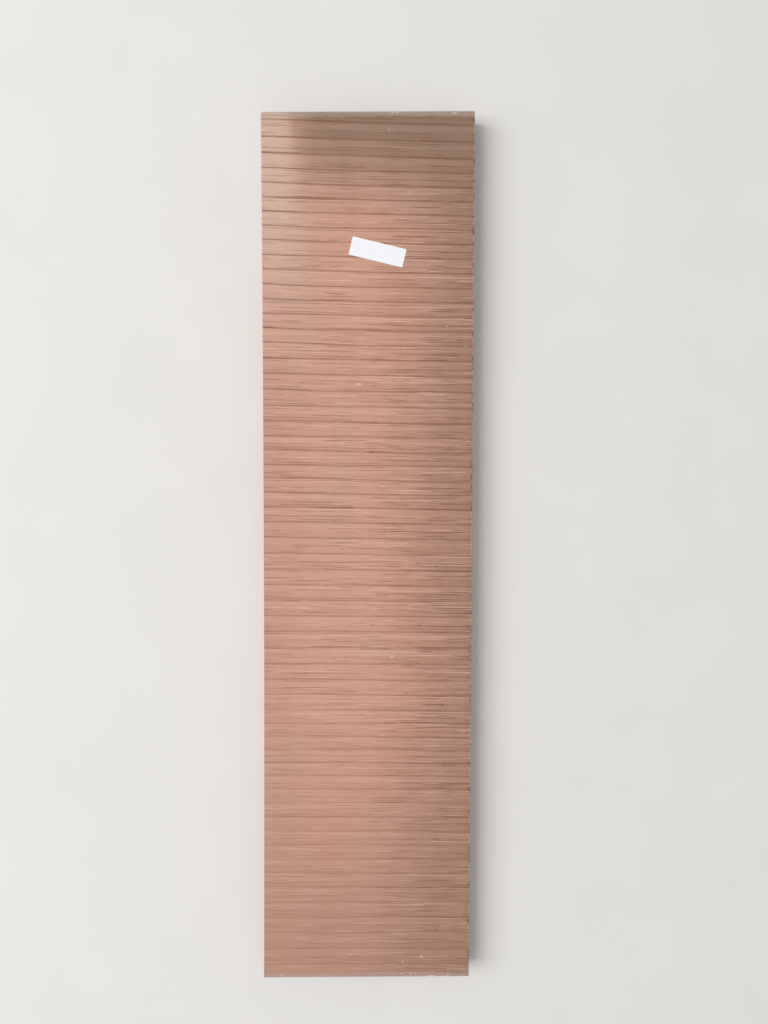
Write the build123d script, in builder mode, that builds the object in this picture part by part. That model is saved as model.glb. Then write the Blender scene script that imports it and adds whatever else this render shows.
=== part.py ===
"""A rough-sawn hardwood board, lying flat with its labelled face up.

X runs across the board, Y along its length and Z up through its thickness.
The origin is the middle of the underside. Lengths are in millimetres, angles in degrees.
"""

import os

from build123d import *

# The board, as it left the saw
board_length = 1620.0  # along each long edge
board_width = 391.0  # straight across, between the ends of the long edges
board_thickness = 51.0  # eight-quarter stock
end_skew = 3.0  # each end's right corner stands this far beyond its left one
edge_hollow = 2.5  # how far the left edge dips in at mid-length
arris_break = 0.6  # wear along the sawn edges

# The paper label stuck on the upper face
label_length = 101.6
label_height = 33.9
label_corner_radius = 2.0
label_paper = 0.15
label_tilt = -13.3
label_from_far_end = 252.3  # centre of the label to the middle of the far end
label_from_right_edge = 177.4  # centre of the label to the straight edge

# Places worked out from the sizes above
half_length = board_length / 2
half_width = board_width / 2
half_skew = end_skew / 2
left_x = -half_width
right_x = half_width
near_left = (left_x, -half_length - half_skew)
near_right = (right_x, -half_length + half_skew)
far_right = (right_x, half_length + half_skew)
far_left = (left_x, half_length - half_skew)
left_middle = (left_x + edge_hollow, 0)
label_centre = (right_x - label_from_right_edge, half_length - label_from_far_end)

# The board: a ripped outline with parallel skew ends, one solid through its thickness
with BuildPart() as board:
    with BuildSketch():
        with BuildLine():
            Line(near_left, near_right)
            Line(near_right, far_right)
            Line(far_right, far_left)
            ThreePointArc(far_left, left_middle, near_left)
        make_face()
    extrude(amount=board_thickness)
    chamfer(board.edges(), length=arris_break)

# The label: one piece of paper, stuck down flat and a little askew
with BuildPart() as paper_label:
    with BuildSketch(Plane.XY.offset(board_thickness)):
        with Locations(Location(label_centre, label_tilt)):
            RectangleRounded(label_length, label_height, label_corner_radius)
    extrude(amount=label_paper)

board.part.label = "board"
paper_label.part.label = "paper_label"

os.makedirs("parts", exist_ok=True)
export_step(board.part, "parts/board.step")
export_step(paper_label.part, "parts/paper_label.step")
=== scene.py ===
import math
import random

import bmesh
import bpy
import numpy as np
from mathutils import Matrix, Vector, noise


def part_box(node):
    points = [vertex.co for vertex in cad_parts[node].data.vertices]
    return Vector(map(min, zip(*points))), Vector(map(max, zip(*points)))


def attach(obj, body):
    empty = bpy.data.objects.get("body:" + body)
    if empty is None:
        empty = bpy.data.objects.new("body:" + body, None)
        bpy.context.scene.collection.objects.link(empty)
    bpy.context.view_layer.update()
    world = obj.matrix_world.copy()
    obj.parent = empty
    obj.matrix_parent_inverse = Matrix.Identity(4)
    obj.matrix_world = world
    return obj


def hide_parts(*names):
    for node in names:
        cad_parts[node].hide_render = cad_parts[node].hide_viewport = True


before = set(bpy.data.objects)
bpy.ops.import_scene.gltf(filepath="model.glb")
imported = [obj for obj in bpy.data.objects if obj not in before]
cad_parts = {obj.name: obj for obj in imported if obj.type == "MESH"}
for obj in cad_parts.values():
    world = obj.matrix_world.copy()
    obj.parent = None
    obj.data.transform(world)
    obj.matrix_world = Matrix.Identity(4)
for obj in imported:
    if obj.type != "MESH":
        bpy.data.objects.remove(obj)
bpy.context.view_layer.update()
scene = bpy.context.scene
mm = 0.001

# The sawn board, as the frame holds it, in millimetres
boardLow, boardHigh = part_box("board")
boardWidth = (boardHigh.x - boardLow.x) / mm
boardThickness = (boardHigh.z - boardLow.z) / mm
endSkew = 3.0                # each end's right corner stands this far beyond its left one
edgeHollow = 2.5             # how far the left edge dips in at mid-length
halfWidth = boardWidth / 2
halfLength = (boardHigh.y - boardLow.y) / mm / 2 - endSkew / 2
beyondEnds = 40.0            # saw lines are still looked for this far past the ends
smoothAngle = 40.0           # in degrees: a sharper fold than this is shaded as an edge
print("frame read:", round(boardWidth), "x", round(2 * halfLength), "x", round(boardThickness), "mm")


def smoothStep(value, low, high):
    share = np.clip((value - low) / (high - low), 0.0, 1.0)
    return share * share * (3.0 - 2.0 * share)


def bell(distance, width):
    return np.exp(-(distance / width) ** 2)


# The band saw's lines run across both wide faces

sawLook = {
    "pitch": 27.85,          # mean step of the blade's heavy lines
    "lines": range(-1, 61),  # more than cross the board, as the end ones fall off it
    "start": -0.155,         # part of a line that the far end starts on
    "wander": ((509, -0.17, 0.73), (892, -0.24, 0.49), (257, 0.056, 3.09), (2400, 0.04, -1.31)),
    "readAt": 29.0,          # the pitch is told this far in from the left edge
    "drop": (12.6, -0.0085, 1.3e-6),    # how far a line runs down across the board, by where it starts
    "dropScale": 1.09,       # the drop is told over a little less than the whole width
    "bow": 1.0,              # lines are bowed at the far end
    "bowNear": -0.4,         # and bent the other way at the near end
    "bowFades": (450, 950),
    "waver": 2.0,            # how far a line strays on its way across
    "heavyRows": (-0.085, -0.04, 0.0, 0.04, 0.085),     # cuts across one heavy groove
    "halfwayAt": 0.6,        # a lighter groove lies a little past halfway to the next
    "halfwayRows": (0.56, 0.6, 0.64),
    "fineAt": (0.17, 0.28, 0.38, 0.49, 0.74, 0.86),
    "fineHalf": 0.026,
    "fineStray": 0.022,      # fine grooves don't keep to their places from one step to the next
    "columns": 15,
    "edgeColumns": (1.2, 4.0),          # closer cuts beside the long edges
    "edgeRows": 3,
    "heavyDepth": 0.42,      # depths and widths of the grooves and the wear, in millimetres
    "heavyWidth": 1.45,
    "halfwayDepth": 0.26,
    "halfwayWidth": 1.0,
    "fineDepth": 0.14,
    "fineWidth": 0.42,
    "unevenDepth": 0.16,
    "edgeDepth": 0.18,
    "endDepth": 0.12,
    "arrisRound": 0.6,
    "arrisWear": 0.35,
}


def fromFarEnd(x, y):
    return halfLength + endSkew * x / boardWidth - y


def lineDrop(x, v):
    # how much lower a line stands at x than where its pitch is told
    a, b, c = sawLook["drop"]
    across = (x + halfWidth - sawLook["readAt"]) / boardWidth
    return (a + b * v + c * v * v) * across * sawLook["dropScale"]


def sawCount(x, y):
    # whole numbers fall on the heavy lines
    v = fromFarEnd(x, y)
    v = v - lineDrop(x, v)
    count = sawLook["start"] + v / sawLook["pitch"]
    for wavelength, gained, turn in sawLook["wander"]:      # the feed ran a little fast and slow
        count = count + gained * np.sin(2 * math.pi * v / wavelength + turn)
    return count


def fineStray(number, at):
    return sawLook["fineStray"] * np.sin(2.4 * number + 23.0 * at)


def lineBow(x, v):
    across = (x + halfWidth) / boardWidth
    swing = smoothStep(v, *sawLook["bowFades"])
    depth = sawLook["bow"] + (sawLook["bowNear"] - sawLook["bow"]) * swing
    return 4.0 * depth * (across * (1.0 - across) - 0.07)


def rowPlane(count):
    # the upright plane that saws across the board along one line
    steps = np.arange(-beyondEnds, 2 * halfLength + beyondEnds, 1.0)
    ends = []
    for x in (-halfWidth, halfWidth):
        y = halfLength + endSkew * x / boardWidth - steps
        ends.append(Vector((x, float(np.interp(count, sawCount(x, y), y)), 0.0)))
    across = ends[1] - ends[0]
    return ends[0] * mm, Vector((-across.y, across.x, 0.0)).normalized()


def startEditing(piece):
    bpy.ops.object.select_all(action="DESELECT")
    piece.select_set(True)
    bpy.context.view_layer.objects.active = piece
    bpy.ops.object.mode_set(mode="EDIT")
    bpy.ops.mesh.select_mode(type="FACE")
    bpy.ops.mesh.select_all(action="SELECT")


def cutAcross(place, normal, **cut):
    bpy.ops.mesh.select_all(action="SELECT")
    bpy.ops.mesh.bisect(plane_co=place, plane_no=normal, **cut)


def addBlock(name, size, place, turn=0.0):
    bpy.ops.object.select_all(action="DESELECT")
    bpy.ops.mesh.primitive_cube_add(size=1.0, location=place, rotation=(0.0, 0.0, turn), scale=size)
    block = bpy.context.object
    block.name = name
    block.data.name = name
    bpy.ops.object.transform_apply(location=True, rotation=True, scale=True)
    return block


def pickFaces(piece, wanted):
    shape = bmesh.from_edit_mesh(piece.data)
    for face in shape.faces:
        face.select_set(bool(wanted(face)))
    bmesh.update_edit_mesh(piece.data)


def isNear(face, x, y, wide, long):
    if face.normal.z < 0.5 or abs(face.verts[0].co.y / mm - y) > long + 25.0:
        return False
    middle = face.calc_center_median() / mm
    return abs(middle.x - x) < wide + 1.0 and abs(middle.y - y) < long + 1.0


def readPoints(mesh):
    # where the points are, in millimetres
    points = np.zeros(len(mesh.vertices) * 3)
    mesh.vertices.foreach_get("co", points)
    return points.reshape(-1, 3).T / mm


def movePoints(mesh, x, y, z):
    mesh.vertices.foreach_set("co", (np.column_stack((x, y, z)) * mm).ravel())
    mesh.update()


def shadeSmooth(piece):
    bpy.ops.object.select_all(action="DESELECT")
    piece.select_set(True)
    bpy.context.view_layer.objects.active = piece
    bpy.ops.object.shade_smooth_by_angle(angle=math.radians(smoothAngle))


def ripples(points, scale, seed):
    # smooth noise at each point, -1 to 1
    return np.array([noise.noise(Vector((p[0] * scale[0], p[1] * scale[1], seed))) for p in points])


# Torn places, in millimetres: across and along from the middle, how wide, how long
paleChips = [
    (105, -769, 5, 6), (9, -38, 3.5, 3), (46, -194, 9, 4), (68, 382, 3.5, 5), (69, -781, 5, 4),
    (147, 423, 3, 3), (27, 126, 4, 5), (120, -494, 3.5, 4), (85, -167, 2, 6), (-18, 317, 14, 5),
    (75, 666, 5, 3), (181, 385, 4, 5), (39, 778, 5, 3), (67, -804, 3, 5), (84, -803, 4, 4),
    (94, -804, 3, 4), (156, -804, 3, 5), (-32, -767, 2.5, 5),
]
darkPits = [
    (34, 332, 3.5, 4), (7, 191, 5, 4), (95, -206, 7, 2.6), (118, -293, 4, 5), (133, -719, 2.6, 13),
    (98, -134, 11, 2.4), (10, -134, 12, 2), (-31, -134, 5, 2), (72, -262, 10, 3), (144, -395, 5, 2.4),
    (36, -76, 8, 2.4), (133, -542, 13, 2), (130, -22, 5, 4), (11, 661, 3.5, 4), (142, -284, 7, 4),
    (-46, 9, 5, 2),
]
fleckLine = halfLength - 2   # flecks stand this far from the middle, just inside the ends
draw = random.Random(4)
for side, least in ((1, 20), (-1, 40)):                     # flecks along both ends
    for fleck in range(5):
        across = draw.uniform(least, 170) * (1 if fleck else -1)
        paleChips.append((across, side * fleckLine, draw.uniform(2, 12), draw.uniform(2.5, 4.5)))
for nick in range(22):                                      # nicks along the straight edge
    darkPits.append((halfWidth, draw.uniform(-760, 760), draw.uniform(3, 5), draw.uniform(3.5, 6)))
chipDepth = 0.3
pitDepth = 0.8


def makeBoard():
    spareLength = 1.02 * (2 * halfLength + endSkew)
    block = addBlock("rough_board", (boardWidth * mm, spareLength * mm, boardThickness * mm),
                     (0.0, 0.0, boardThickness * mm / 2))
    startEditing(block)
    endTilt = endSkew / boardWidth
    for side in (1, -1):                                    # cross-cut both ends, a little out of square
        outward = Vector((-endTilt, 1.0, 0.0)).normalized() * side
        cutAcross(Vector((0.0, side * halfLength * mm, 0.0)), outward, use_fill=True, clear_outer=True)
    bpy.ops.mesh.select_all(action="SELECT")
    bpy.ops.mesh.bevel(offset=sawLook["arrisRound"] * mm, segments=1, affect="EDGES")
    rows = []
    for heavy in sawLook["lines"]:
        rows += [heavy + part for part in sawLook["heavyRows"] + sawLook["halfwayRows"]]
        for at in sawLook["fineAt"]:
            middle = heavy + at + fineStray(heavy, at)
            rows += [middle + side * sawLook["fineHalf"] for side in (-1, 0, 1)]
    for count in rows:
        place, normal = rowPlane(count)
        if abs(place.y) < (halfLength + beyondEnds / 2) * mm:
            cutAcross(place, normal)
    print("saw lines cut:", len(rows))
    for x, y, wide, long in paleChips + darkPits:           # closer cuts only where the wood is torn
        for side in (-1, 1):
            cutAt = x + side * 0.9 * wide
            if abs(cutAt) < halfWidth - sawLook["arrisRound"]:
                pickFaces(block, lambda face: isNear(face, x, y, 2 * boardWidth, long))
                bpy.ops.mesh.bisect(plane_co=(cutAt * mm, 0.0, 0.0), plane_no=(1.0, 0.0, 0.0))
        pickFaces(block, lambda face: isNear(face, x, y, 0.9 * wide, long))
        bpy.ops.mesh.subdivide(number_cuts=3)
    columns = list(np.linspace(-halfWidth, halfWidth, sawLook["columns"] + 1)[1:-1])
    columns += [side * (halfWidth - inset) for side in (-1, 1) for inset in sawLook["edgeColumns"]]
    for x in columns:
        cutAcross(Vector((x * mm, 0.0, 0.0)), Vector((1.0, 0.0, 0.0)))
    for row in range(sawLook["edgeRows"]):
        height = boardThickness * (row + 1) / (sawLook["edgeRows"] + 1)
        cutAcross(Vector((0.0, 0.0, height * mm)), Vector((0.0, 0.0, 1.0)))
    bpy.ops.object.mode_set(mode="OBJECT")
    print("board faces:", len(block.data.polygons))
    return block


def lineStrength(v):
    # the heavy lines grow faint towards the near end
    return np.interp(v, (0, 600, 800, 1150, 1350, 1600), (1.0, 1.0, 0.8, 0.65, 0.5, 0.3))


def sawRelief(x, y, count, shift, seed):
    # how far the saw cut below the flat face, in millimetres
    v = fromFarEnd(x, y)
    flat = np.column_stack((x, y))
    number = np.round(count - shift)
    offLine = (count - shift - number) * sawLook["pitch"]
    patch = ripples(np.column_stack((x, number * 31.0)), (0.014, 1.0), seed)
    heavy = sawLook["heavyDepth"] * lineStrength(v) * (1.0 + 0.4 * patch)
    heavy = heavy * bell(offLine, sawLook["heavyWidth"])
    between = count - shift - sawLook["halfwayAt"]
    offBetween = (between - np.round(between)) * sawLook["pitch"]
    towardStraight = 0.15 + 0.85 * smoothStep(x, -30, 150)
    halfway = sawLook["halfwayDepth"] * towardStraight * (1.0 + 0.5 * patch)
    halfway = halfway * bell(offBetween, sawLook["halfwayWidth"])
    whole = np.floor(count)
    fine = np.zeros_like(x)
    for at in sawLook["fineAt"]:
        comes = ripples(np.column_stack((x, whole * 17.0 + at * 90.0)), (0.012, 1.0), seed + 5)
        comes = np.clip(0.55 + 1.6 * comes, 0.0, 1.0)
        offFine = (count - whole - at - fineStray(whole, at)) * sawLook["pitch"]
        fine = np.maximum(fine, comes * bell(offFine, sawLook["fineWidth"]))
    uneven = sawLook["unevenDepth"] * np.clip(ripples(flat, (0.012, 0.02), seed + 9), 0.0, 1.0)
    return np.clip(heavy + halfway + sawLook["fineDepth"] * fine + uneven, 0.0, 1.0), fine


def roughen(board):
    mesh = board.data
    flatNormals = np.zeros(len(mesh.polygons) * 3)
    mesh.polygons.foreach_get("normal", flatNormals)
    flatNormals = np.abs(flatNormals.reshape(-1, 3))
    finishOf = np.where(flatNormals[:, 2] > 0.6, 0, np.where(flatNormals[:, 0] > 0.6, 1, 2))

    x, y, z = readPoints(mesh)
    count = sawCount(x, y)
    v = fromFarEnd(x, y)
    flat = np.column_stack((x, y))

    onTop = smoothStep(z, boardThickness - 0.75, boardThickness - 0.05)
    onUnder = smoothStep(z, 0.75, 0.05)
    toEnd = np.minimum(v, 2 * halfLength - v)
    onEnd = smoothStep(toEnd, 0.6, 0.0)
    onEdge = smoothStep(halfWidth - np.abs(x), 0.7, 0.05)

    down, topFine = sawRelief(x, y, count, 0.0, 3.0)
    up, underFine = sawRelief(x, y, count, sawLook["halfwayAt"], 33.0)
    down = down * onTop
    up = up * onUnder
    tall = np.column_stack((y, z))
    scored = ripples(tall, (0.11, 0.012), 51.0) + 0.3 * ripples(tall, (0.5, 0.05), 52.0)
    inward = sawLook["edgeDepth"] * np.clip(scored, 0.0, 1.0) * onEdge
    wear = sawLook["arrisWear"] * np.clip(ripples(flat, (0.05, 0.23), 61.0) + 0.2, 0.0, 1.0)
    fromMiddle = np.abs(z - boardThickness / 2)
    arris = smoothStep(fromMiddle, boardThickness / 2 - 0.75, boardThickness / 2) * onEdge
    inward = inward + wear * arris
    endScore = np.clip(ripples(np.column_stack((x, z)), (0.03, 0.06), 71.0), 0.0, 1.0)
    back = sawLook["endDepth"] * endScore * onEnd

    torn = np.zeros_like(x)
    for kind, depth, spots in ((1.0, chipDepth, paleChips), (-1.0, pitDepth, darkPits)):
        for spotX, spotY, wide, long in spots:
            ragged = 0.9 + 0.8 * ripples(flat - (spotX, spotY), (0.45, 0.6), spotX * 0.7)
            reach = bell(np.hypot((x - spotX) / wide, (y - spotY) / long), 0.45)
            reach = reach * ragged * (z > boardThickness / 2)
            down = down + reach * onTop * depth
            if spotX == halfWidth:
                inward = inward + reach * onEdge
            if abs(spotY) == fleckLine:
                back = back + reach * onEnd
            torn = torn + kind * reach

    fade = smoothStep(toEnd, 0.0, 30.0)
    waver = sawLook["waver"] * ripples(flat, (0.005, 0.05), 81.0)
    y2 = y - (lineBow(x, v) + waver) * fade - np.sign(y) * back
    x2 = x - np.sign(x) * inward
    x2 = x2 + edgeHollow * (1.0 - (y / halfLength) ** 2).clip(0.0, 1.0) * (halfWidth - x) / boardWidth
    z2 = z - down + up
    movePoints(mesh, x2, y2, z2)
    fineCut = np.where(z > boardThickness / 2, topFine, underFine)
    for name, values in (("sawCount", count), ("tornWood", torn), ("fineCut", fineCut)):
        mesh.attributes.new(name, "FLOAT", "POINT").data.foreach_set("value", values)
    shadeSmooth(board)
    return finishOf


board = makeBoard()
faceFinish = roughen(board)
print("board cut and roughened")


# The paper label lies over the grooves, stuck down flat

labelLook = {
    "length": 101.6,
    "height": 33.9,
    "corner": 2.0,
    "paper": 0.15,           # thickness
    "tilt": -13.3,           # in degrees
    "fromFarEnd": 252.3,     # from the middle of the label
    "fromStraightEdge": 177.4,
    "sag": 0.12,             # how far the paper follows the heavy grooves
    "sagWidth": 1.9,
    "uneven": 0.03,
    "across": 16,
    "rows": (0.0, 0.03, 0.06, 0.1, 0.25, 0.5, 0.53, 0.56, 0.75, 0.9, 0.94, 0.97),   # cuts along each step
}


def makeLabel():
    labelX = halfWidth - labelLook["fromStraightEdge"]
    labelY = halfLength - labelLook["fromFarEnd"]
    paper = labelLook["paper"]
    turn = math.radians(labelLook["tilt"])
    sheet = addBlock("bare_label", (labelLook["length"] * mm, labelLook["height"] * mm, paper * mm),
                     (labelX * mm, labelY * mm, (boardThickness + paper / 2) * mm), turn)
    startEditing(sheet)
    bpy.ops.mesh.select_mode(type="EDGE")
    bpy.ops.mesh.select_all(action="DESELECT")
    shape = bmesh.from_edit_mesh(sheet.data)
    for edge in shape.edges:
        a, b = edge.verts
        edge.select_set(abs(a.co.z - b.co.z) > 0.5 * paper * mm)
    bmesh.update_edit_mesh(sheet.data)
    bpy.ops.mesh.bevel(offset=labelLook["corner"] * mm, segments=5, affect="EDGES")
    bpy.ops.mesh.select_mode(type="FACE")
    along = Vector((math.cos(turn), math.sin(turn), 0.0))
    middle = Vector((labelX, labelY, 0.0)) * mm
    for step in range(1, labelLook["across"]):
        shift = (step / labelLook["across"] - 0.5) * labelLook["length"] * mm
        cutAcross(middle + along * shift, along)
    reach = labelLook["height"] / 2 + labelLook["length"] / 2 * abs(math.sin(turn)) + 2.0
    first = float(sawCount(labelX, labelY + reach))
    last = float(sawCount(labelX, labelY - reach))
    for heavy in range(math.floor(first) - 1, math.ceil(last) + 1):
        for part in labelLook["rows"]:
            cutAcross(*rowPlane(heavy + part))
    bpy.ops.object.mode_set(mode="OBJECT")
    x, y, z = readPoints(sheet.data)
    count = sawCount(x, y)
    offLine = (count - np.round(count)) * sawLook["pitch"]
    v = fromFarEnd(x, y)
    uneven = labelLook["uneven"] * (1.0 + ripples(np.column_stack((x, y)), (0.06, 0.06), 15.0))
    sunk = np.clip(labelLook["sag"] * bell(offLine, labelLook["sagWidth"]) + uneven, 0.0, 1.0)
    movePoints(sheet.data, x, y - lineBow(x, v), z - sunk)
    shadeSmooth(sheet)
    return sheet


label = makeLabel()
print("label faces:", len(label.data.polygons))


# Finishes

class Wire:
    # one output of a node, so that sums on it read as plain sums

    def __init__(self, finish, socket):
        self.finish = finish
        self.socket = socket

    def __add__(self, other):
        return self.finish.maths("ADD", self, other)

    __radd__ = __add__

    def __sub__(self, other):
        return self.finish.maths("SUBTRACT", self, other)

    def __rsub__(self, other):
        return self.finish.maths("SUBTRACT", other, self)

    def __mul__(self, other):
        return self.finish.maths("MULTIPLY", self, other)

    __rmul__ = __mul__

    def __truediv__(self, other):
        return self.finish.maths("DIVIDE", self, other)

    def __pow__(self, other):
        return self.finish.maths("POWER", self, other)

    def __abs__(self):
        return self.finish.maths("ABSOLUTE", self)

    def __neg__(self):
        return self.finish.maths("MULTIPLY", self, -1.0)


class Finish:
    # one material and its nodes

    def __init__(self, name):
        self.material = bpy.data.materials.new(name)
        self.material.use_nodes = True
        self.tree = self.material.node_tree
        self.tree.nodes.clear()

    def node(self, kind, settings=None, sockets=None, out=0):
        made = self.tree.nodes.new(kind)
        for key, value in (settings or {}).items():
            setattr(made, key, value)
        for key, value in (sockets or {}).items():
            if isinstance(value, Wire):
                self.tree.links.new(value.socket, made.inputs[key])
            else:
                made.inputs[key].default_value = value
        return Wire(self, made.outputs[out]) if made.outputs else made

    def maths(self, operation, *terms):
        return self.node("ShaderNodeMath", {"operation": operation}, dict(enumerate(terms)))

    def nearest(self, value):
        return self.maths("ROUND", value)

    def hump(self, distance, width):
        # 1 on the line, fading to 0 beside it
        return self.maths("EXPONENT", -((distance / width) ** 2.0))

    def soft(self, value, low, high):
        return self.node("ShaderNodeMapRange", {"interpolation_type": "SMOOTHSTEP"},
                         {"Value": value, "From Min": low, "From Max": high})

    def combed(self, count, x, perPitch, width, reach, low, high, seed):
        # crisp lines side by side that follow the blade, each coming and going on its way across
        lines = count * perPitch
        number = self.nearest(lines)
        spacing = sawLook["pitch"] / perPitch
        stray = (self.cloud(x / 1200.0, number * 6.1, seed, detail=0.0) - 0.5) * (spacing * 1.4)
        present = self.soft(self.cloud(x / reach, number * 4.3, seed + 5.0), low, high)
        return self.hump((lines - number) * spacing + stray, width) * present

    def cloud(self, x, y, z, detail=2.0, rough=0.5):
        place = self.node("ShaderNodeCombineXYZ", None, {"X": x, "Y": y, "Z": z})
        return self.node("ShaderNodeTexNoise", None,
                         {"Vector": place, "Scale": 1.0, "Detail": detail, "Roughness": rough})

    def mixed(self, amount, first, second):
        return self.node("ShaderNodeMix", {"data_type": "RGBA", "clamp_factor": True},
                         {0: amount, 6: first, 7: second}, out=2)

    def millimetres(self):
        place = self.node("ShaderNodeTexCoord", out="Object")
        parts = self.node("ShaderNodeSeparateXYZ", None, {0: place})
        outs = parts.socket.node.outputs
        return [Wire(self, outs[axis]) * 1000.0 for axis in "XYZ"]

    def attribute(self, name):
        return self.node("ShaderNodeAttribute", {"attribute_name": name}, out="Fac")

    def surface(self, colour, roughness, height=None, depth=0.001, shine=0.3):
        sockets = {"Base Color": colour, "Roughness": roughness, "Specular IOR Level": shine}
        if height is not None:
            sockets["Normal"] = self.node("ShaderNodeBump", None, {"Height": height, "Distance": depth})
        shader = self.node("ShaderNodeBsdfPrincipled", None, sockets)
        self.node("ShaderNodeOutputMaterial", None, {"Surface": shader})
        return self.material


def paint(red, green, blue):
    # a colour as a paint chart gives it, 0 to 255, to the numbers that light is worked out in
    return tuple(((part / 255 + 0.055) / 1.055) ** 2.4 for part in (red, green, blue)) + (1.0,)


woodLook = {
    "heart": paint(198, 151, 132),
    "rosy": paint(201, 149, 131),
    "dull": paint(192, 150, 129),
    # the straight side's colour: partly a greyer tone, partly painted shade
    "straightSideGreyAndShade": paint(158, 122, 103),
    # the hollow side near the far end: partly a paler tone, partly painted light
    "hollowSide": paint(204, 175, 156),
    # browner at the far end, partly in tone and partly painted shade
    "farEndBrownAndShade": paint(138, 113, 95),
    "nearEndBrown": paint(156, 121, 103),
    # the dark of the saw lines, late wood and pores; in the saw grooves it is partly painted shade
    "darkLine": paint(124, 83, 64),
    "darkAmount": 0.96,      # how strong the fine dark lines are
    # pale fibres; on the sawn face this colour also carries the painted light on the saw teeth
    "paleFibre": paint(226, 184, 166),
    "paleAmount": 1.03,
    "hairAmount": 0.46,      # the finest lines of all
    "poreAmount": 0.22,
    "tornPale": paint(236, 214, 200),
    "tornAmount": 0.52,
    # pits and nicks are painted this dark: painted shade inside them
    "pitShade": paint(92, 62, 50),
    "pitShadeAmount": 0.65,
    "arris": paint(196, 178, 164),
    "rim": paint(136, 112, 98),
    "rimAmount": 0.42,
    "rimBand": 16.0,         # the straight side is darker and greyer this far in, in millimetres
    "wax": paint(172, 160, 153),
    "waxAmount": 0.35,
    "waxBand": 10.0,         # the end sealer laps this far onto the faces, in millimetres
}


def woodColour(finish, x, y, z):
    # the wood itself, the same through the board: soft streaks along it and broad changes of tone, some
    # of which are painted shade and painted light, as marked below
    streak = finish.cloud(x / 9.0, y / 420.0, z / 9.0, detail=3.0)
    patch = finish.cloud(x / 60.0, y / 330.0, z / 60.0, detail=2.0)
    colour = finish.mixed(finish.soft(patch, 0.3, 0.7), woodLook["dull"], woodLook["rosy"])
    colour = finish.mixed(finish.soft(streak, 0.3, 0.7) * 0.5, colour, woodLook["heart"])
    v = halfLength - y
    # greyer towards the straight side, partly in tone and partly painted shade
    straightSideGreyAndShade = finish.soft(x + (patch - 0.5) * 60.0, -20.0, 190.0)
    sideAmount = straightSideGreyAndShade * (0.9 - finish.soft(v, 600.0, 1200.0) * 0.12)
    colour = finish.mixed(sideAmount, colour, woodLook["straightSideGreyAndShade"])
    broken = (patch - 0.5) * 110.0 + x * 0.12
    # browner at the far end, partly in tone and partly painted shade
    farEnd = finish.soft(v - broken, 230.0, 20.0)
    nearEnd = finish.soft(v + broken, 1050.0, 1720.0)
    hollowSide = finish.soft(x + (patch - 0.5) * 50.0, -86.0, -166.0)
    colour = finish.mixed(hollowSide * 0.18, colour, woodLook["straightSideGreyAndShade"])
    # paler on the hollow side near the far end, partly in tone and partly painted light
    paleAndLitHollowSide = hollowSide * finish.soft(v, 550.0, 120.0) * 0.87
    colour = finish.mixed(paleAndLitHollowSide, colour, woodLook["hollowSide"])
    colour = finish.mixed(farEnd * (0.97 - hollowSide * 0.96), colour, woodLook["farEndBrownAndShade"])
    # painted shade along the straight edge, part way down from the far end
    straightEdgeShade = finish.soft(x, 125.0, 172.0) * finish.soft(v, 640.0, 360.0)
    colour = finish.mixed(straightEdgeShade * 0.25, colour, woodLook["farEndBrownAndShade"])
    nearAmount = nearEnd * (0.67 + straightSideGreyAndShade * 0.25 - hollowSide * 0.22)
    return finish.mixed(nearAmount, colour, woodLook["nearEndBrown"])


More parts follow.
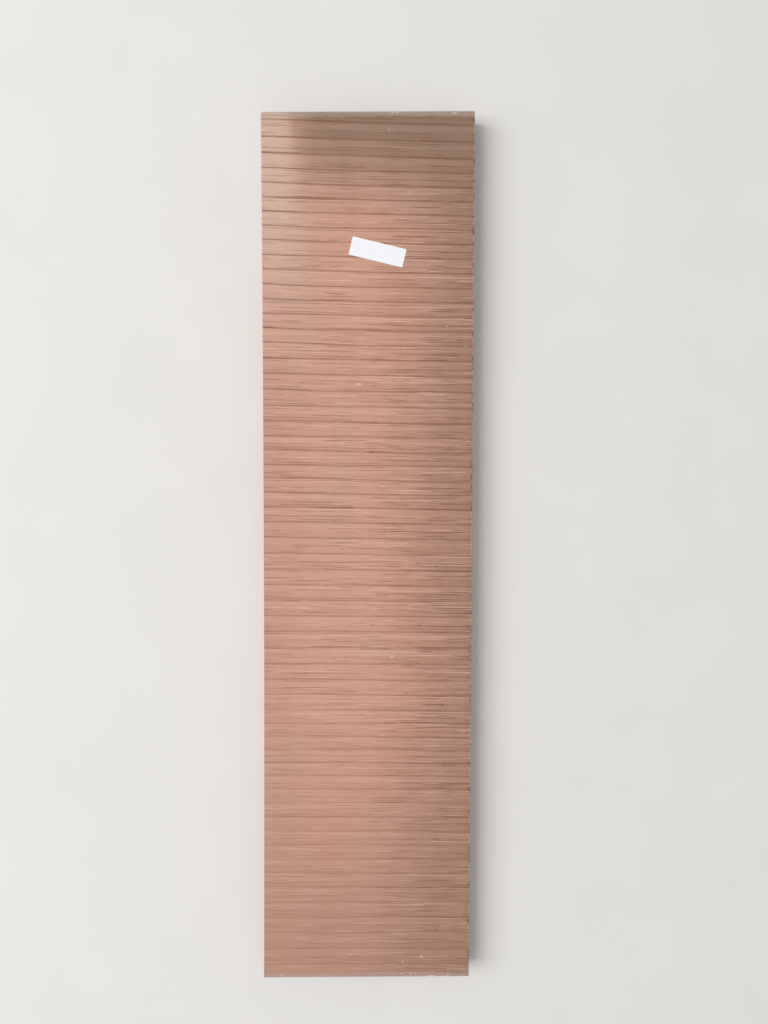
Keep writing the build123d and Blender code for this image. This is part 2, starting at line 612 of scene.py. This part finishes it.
def sawnFace():
    finish = Finish("sawn face")
    x, y, z = finish.millimetres()
    under = finish.maths("LESS_THAN", z, boardThickness / 2)
    count = finish.attribute("sawCount") - under * sawLook["halfwayAt"]
    across = count * sawLook["pitch"]
    v = halfLength - y
    number = finish.nearest(count)
    sway = (finish.cloud(x / 120.0, number * 7.1, 1.0) - 0.5) * 2.4
    shiver = finish.cloud(x / 14.0, number * 3.3, 2.0) - 0.5
    offLine = (count - number) * sawLook["pitch"] - 0.2 + (sway + shiver)
    patchy = finish.cloud(x / 50.0, number * 3.7, 4.0, detail=3.0)
    towardStraight = finish.soft(x, -40.0, 150.0)
    towardHollow = finish.soft(x, -60.0, -150.0)
    fading = (1.0 - finish.soft(v, 100.0, 1800.0) * 0.6) * (1.1 - finish.hump(x + 30.0, 55.0) * 0.15)
    fading = fading * (1.0 - towardHollow * finish.soft(v, 300.0, 1500.0) * 0.45)
    fading = fading * (0.96 + towardStraight * finish.soft(v, 500.0, 1300.0) * 0.24)
    # the heavy lines and their soft dark shoulder: partly burn and dirt in the grooves, partly painted
    # shade
    heavy = finish.hump(offLine, 1.3) * fading * (patchy * 0.8 + 0.2)
    banked = finish.hump(offLine + 0.8, 3.0) * fading * 0.05

    between = count - sawLook["halfwayAt"]
    betweenNumber = finish.nearest(between)
    betweenSway = (finish.cloud(x / 110.0, betweenNumber * 5.3, 9.0) - 0.5) * 3.0
    offBetween = (between - betweenNumber) * sawLook["pitch"] + betweenSway
    middleLength = finish.soft(v, 150.0, 450.0)
    betweenPatch = finish.soft(finish.cloud(x / 45.0, betweenNumber * 2.9, 6.0), 0.38, 0.6)
    halfway = finish.hump(offBetween, 1.0) * (0.2 + towardStraight * 0.8)
    halfway = halfway * (0.15 + middleLength * 0.85) * betweenPatch * 0.5

    finePatch = finish.soft(finish.cloud(x / 30.0, across / 4.0, 7.0), 0.35, 0.65)
    fine = finish.attribute("fineCut") * finePatch * (0.4 + towardStraight * 0.6) * 0.4

    calmer = finish.soft(v, 800.0, 1500.0) * (0.5 - towardStraight * 0.28)
    busy = (0.62 + towardStraight * 0.38) * (1.0 - calmer)
    busy = busy * (0.55 + finish.cloud(x / 70.0, y / 50.0, 3.0) * 0.9)
    narrow = finish.cloud(x / 230.0, across / 2.0, 11.0, detail=1.0) - 0.5
    # a paler band in each step between the lines: painted light on one face of the saw teeth
    part = between - betweenNumber
    lighter = finish.soft(part, -0.52, -0.44) - finish.soft(part, -0.14, -0.04)
    paleLines = finish.combed(count, x, 5.9, 0.6, 170.0, 0.53, 0.6, 31.0)
    paleLines = paleLines + finish.combed(count, x, 8.3, 0.46, 80.0, 0.57, 0.64, 43.0)
    darkLines = finish.combed(count, x, 5.3, 0.58, 190.0, 0.53, 0.6, 53.0)
    darkLines = darkLines + finish.combed(count, x, 7.7, 0.46, 90.0, 0.57, 0.64, 67.0)
    streak = narrow * 0.13 * busy + lighter * (0.13 - finish.soft(v, 1000.0, 1500.0) * 0.04) - 0.01
    paleBusy = busy * finish.soft(v, 20.0, 260.0) * (1.0 - towardStraight * 0.45)
    # the pale fibres also carry that painted light
    fibre = finish.maths("MAXIMUM", streak, 0.0) * (1.0 - towardStraight * 0.4)
    fibre = fibre + paleLines * paleBusy * woodLook["paleAmount"]
    scratch = finish.maths("MAXIMUM", -streak, 0.0) * 0.5 + darkLines * busy * woodLook["darkAmount"]
    hair = finish.cloud(x / 18.0, across / 0.5, 23.0, detail=1.0)

    rim = finish.soft(x, halfWidth - woodLook["rimBand"], halfWidth - 1.0)
    colour = finish.mixed(rim * woodLook["rimAmount"], woodColour(finish, x, y, z), woodLook["rim"])
    colour = finish.mixed(fibre, colour, woodLook["paleFibre"])
    colour = finish.mixed((hair - 0.5) * woodLook["hairAmount"] + 0.04, colour, woodLook["darkLine"])
    # the saw lines and fine grooves darkened: partly burn and dirt, partly painted shade
    dark = heavy + banked + halfway + fine + scratch
    colour = finish.mixed(dark, colour, woodLook["darkLine"])

    pore = finish.soft(finish.cloud(x / 0.45, y / 3.5, z / 0.45, detail=1.0), 0.66, 0.76)
    colour = finish.mixed(pore * woodLook["poreAmount"], colour, woodLook["darkLine"])

    toEnd = halfLength - abs(y - x * (endSkew / boardWidth))
    waxEdge = toEnd + (finish.cloud(x / 14.0, y / 5.0, 5.0) - 0.5) * 9.0
    wax = finish.soft(waxEdge, woodLook["waxBand"] + 1.0, woodLook["waxBand"] - 3.0)
    colour = finish.mixed(wax * woodLook["waxAmount"], colour, woodLook["wax"])
    ragged = finish.cloud(x / 9.0, y / 2.5, z / 5.0, detail=4.0, rough=0.65)
    endFray = finish.soft(toEnd, 3.2, 0.6) * finish.soft(ragged, 0.44, 0.62)
    colour = finish.mixed(endFray * 0.45, colour, woodLook["arris"])

    frayed = finish.cloud(x / 6.0, y / 12.0, z / 6.0, detail=4.0, rough=0.65)
    arris = finish.soft(x, halfWidth - 2.6, halfWidth - 0.9) * finish.soft(frayed, 0.36, 0.6)
    colour = finish.mixed(arris * 0.5, colour, woodLook["arris"])
    # dark nicks along the straight edge: painted shade inside them
    nick = finish.soft(x, halfWidth - 3.6, halfWidth - 1.4) * finish.soft(frayed, 0.48, 0.38)
    colour = finish.mixed(nick * 0.72, colour, woodLook["pitShade"])
    torn = finish.attribute("tornWood") * (0.3 + finish.cloud(x / 2.2, y / 1.3, 17.0, detail=3.0) * 1.4)
    chipped = finish.soft(torn, 0.1, 0.9) * woodLook["tornAmount"]
    colour = finish.mixed(chipped, colour, woodLook["tornPale"])
    # the pits are painted dark: painted shade inside them
    pitShading = finish.soft(-torn, 0.1, 0.9) * woodLook["pitShadeAmount"]
    colour = finish.mixed(pitShading, colour, woodLook["pitShade"])

    cut = heavy * 0.25 + halfway * 0.2 + fine * 0.2 + scratch * 0.25
    height = (hair - 0.5) * 0.12 + fibre * 0.15 - cut - pore * 0.1
    roughness = 0.86 - wax * 0.2
    return finish.surface(colour, roughness, height, shine=0.25)


def rippedEdge():
    finish = Finish("ripped edge")
    x, y, z = finish.millimetres()
    colour = woodColour(finish, x, y, z)
    lean = y + z * 0.12
    tooth = finish.cloud(lean / 2.6, z / 110.0, 2.0, detail=3.0)
    chatter = finish.cloud(lean / 11.0, z / 200.0, 6.0, detail=1.0)
    scratch = finish.soft(tooth, 0.46, 0.72)
    fibre = finish.soft(finish.cloud(x / 1.6, y / 90.0, z / 2.2, detail=2.0), 0.5, 0.8)
    marks = scratch * 0.4 + finish.soft(chatter, 0.45, 0.7) * 0.22
    colour = finish.mixed(marks, colour, woodLook["darkLine"])
    colour = finish.mixed(fibre * 0.2, colour, woodLook["paleFibre"])
    pore = finish.soft(finish.cloud(x / 0.45, y / 3.5, z / 0.45, detail=1.0), 0.64, 0.74)
    colour = finish.mixed(pore * 0.5, colour, woodLook["darkLine"])
    height = fibre * 0.2 - scratch * 0.3 - pore * 0.1
    return finish.surface(colour, 0.86, height, shine=0.25)


def endGrain():
    finish = Finish("end grain")
    x, y, z = finish.millimetres()
    colour = woodColour(finish, x, y, z)
    ringBend = finish.cloud(x / 80.0, z / 80.0, 3.0, detail=2.0)
    away = finish.maths("SQRT", (x + 40.0) ** 2.0 + (z + 310.0) ** 2.0) + ringBend * 9.0
    ring = finish.maths("FRACT", away / 5.5)
    lateWood = finish.soft(ring, 0.55, 0.95)
    pore = finish.soft(finish.cloud(x / 0.5, z / 0.5, 8.0, detail=1.0), 0.6, 0.7)
    kerf = finish.soft(finish.cloud(x / 1.4 + z / 9.0, z / 40.0, 12.0, detail=2.0), 0.55, 0.75)
    colour = finish.mixed(0.18 + lateWood * 0.42, colour, woodLook["darkLine"])
    colour = finish.mixed(pore * 0.5 + kerf * 0.4, colour, woodLook["darkLine"])
    brushed = finish.soft(finish.cloud(x / 55.0, z / 5.5, 21.0, detail=4.0, rough=0.6), 0.36, 0.6)
    thick = finish.soft(finish.cloud(x / 70.0, z / 35.0, 24.0), 0.3, 0.6)
    colour = finish.mixed(0.14 + brushed * 0.24 + thick * 0.26, colour, woodLook["wax"])
    height = brushed * 0.1 - pore * 0.2 - kerf * 0.35
    return finish.surface(colour, 0.6, height, shine=0.4)


paperLook = {
    "white": paint(236, 237, 240),
    "dull": paint(229, 231, 235),
    "fibre": paint(208, 204, 198),
}


def labelPaper():
    finish = Finish("label paper")
    x, y = finish.millimetres()[:2]
    cloudy = finish.cloud(x / 14.0, y / 14.0, 1.0, detail=3.0)
    fibre = finish.cloud(x / 0.5, y / 0.5, 5.0, detail=2.0)
    duller = finish.soft(cloudy, 0.35, 0.7) * 0.5
    colour = finish.mixed(duller, paperLook["white"], paperLook["dull"])
    colour = finish.mixed(finish.soft(fibre, 0.5, 0.75) * 0.12, colour, paperLook["fibre"])
    height = (fibre - 0.5) * 0.05
    return finish.surface(colour, 0.6, height, depth=0.0005, shine=0.35)


for look in (sawnFace(), rippedEdge(), endGrain()):
    board.data.materials.append(look)
board.data.polygons.foreach_set("material_index", faceFinish.astype(np.int32))
label.data.materials.append(labelPaper())
print("finishes made")

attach(board, "root")
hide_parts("board")
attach(label, "root")
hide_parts("paper_label")


# The floor, the light and the camera

studio = {
    "floorSize": 14.0,
    "floorColour": paint(222, 220, 217),
    "floorMottle": paint(213, 211, 208),
    "sky": 0.55,             # how strongly it lights the board
    "skySeen": 0.9,          # how bright the camera sees it
    "keyPlace": (-5.52, 0.6, 6.96),
    "keySize": (4.8, 7.2),
    "keyPower": 622.0,
    "lensPixels": 800.0,     # focal length, in pixels
    "pictureHeight": 1024.0,
    "sensorWidth": 36.0,
    "cameraPlace": (26.2, 141.6, 1539.8),
    "cameraTurn": (-2.423, -0.188, 0.152),
}


def makeFloor():
    bpy.ops.object.select_all(action="DESELECT")
    bpy.ops.mesh.primitive_plane_add(size=studio["floorSize"], location=(0.0, 0.0, -0.0002))
    floor = bpy.context.object
    floor.name = "floor"
    bpy.ops.object.transform_apply(location=True)
    finish = Finish("floor")
    x, y = finish.millimetres()[:2]
    mottle = finish.cloud(x / 180.0, y / 180.0, 0.0, detail=3.0)
    mottled = finish.soft(mottle, 0.3, 0.7) * 0.25
    colour = finish.mixed(mottled, studio["floorColour"], studio["floorMottle"])
    floor.data.materials.append(finish.surface(colour, 0.9, shine=0.1))


def makeLight():
    world = bpy.data.worlds.new("studio")
    scene.world = world
    world.use_nodes = True
    nodes = world.node_tree.nodes
    links = world.node_tree.links
    background = nodes["Background"]
    background.inputs["Color"].default_value = (1.0, 1.0, 1.0, 1.0)
    rays = nodes.new("ShaderNodeLightPath")
    seen = nodes.new("ShaderNodeMapRange")
    links.new(rays.outputs["Is Camera Ray"], seen.inputs["Value"])
    seen.inputs["To Min"].default_value = studio["sky"]
    seen.inputs["To Max"].default_value = studio["skySeen"]
    links.new(seen.outputs[0], background.inputs["Strength"])
    key = bpy.data.lights.new("key", "AREA")
    key.shape = "RECTANGLE"
    key.size, key.size_y = studio["keySize"]
    key.energy = studio["keyPower"]
    lamp = bpy.data.objects.new("key", key)
    scene.collection.objects.link(lamp)
    lamp.location = studio["keyPlace"]
    lamp.rotation_euler = (-lamp.location).to_track_quat("-Z", "Y").to_euler()
    lamp.visible_camera = False


def makeCamera():
    camera = bpy.data.objects.new("camera", bpy.data.cameras.new("camera"))
    scene.collection.objects.link(camera)
    scene.camera = camera
    camera.data.sensor_fit = "AUTO"
    camera.data.sensor_width = studio["sensorWidth"]
    camera.data.lens = studio["lensPixels"] * studio["sensorWidth"] / studio["pictureHeight"]
    camera.location = Vector(studio["cameraPlace"]) * mm
    camera.rotation_euler = [math.radians(turn) for turn in studio["cameraTurn"]]


makeFloor()
makeLight()
makeCamera()
scene.view_settings.view_transform = "Standard"
print("floor, light and camera set")
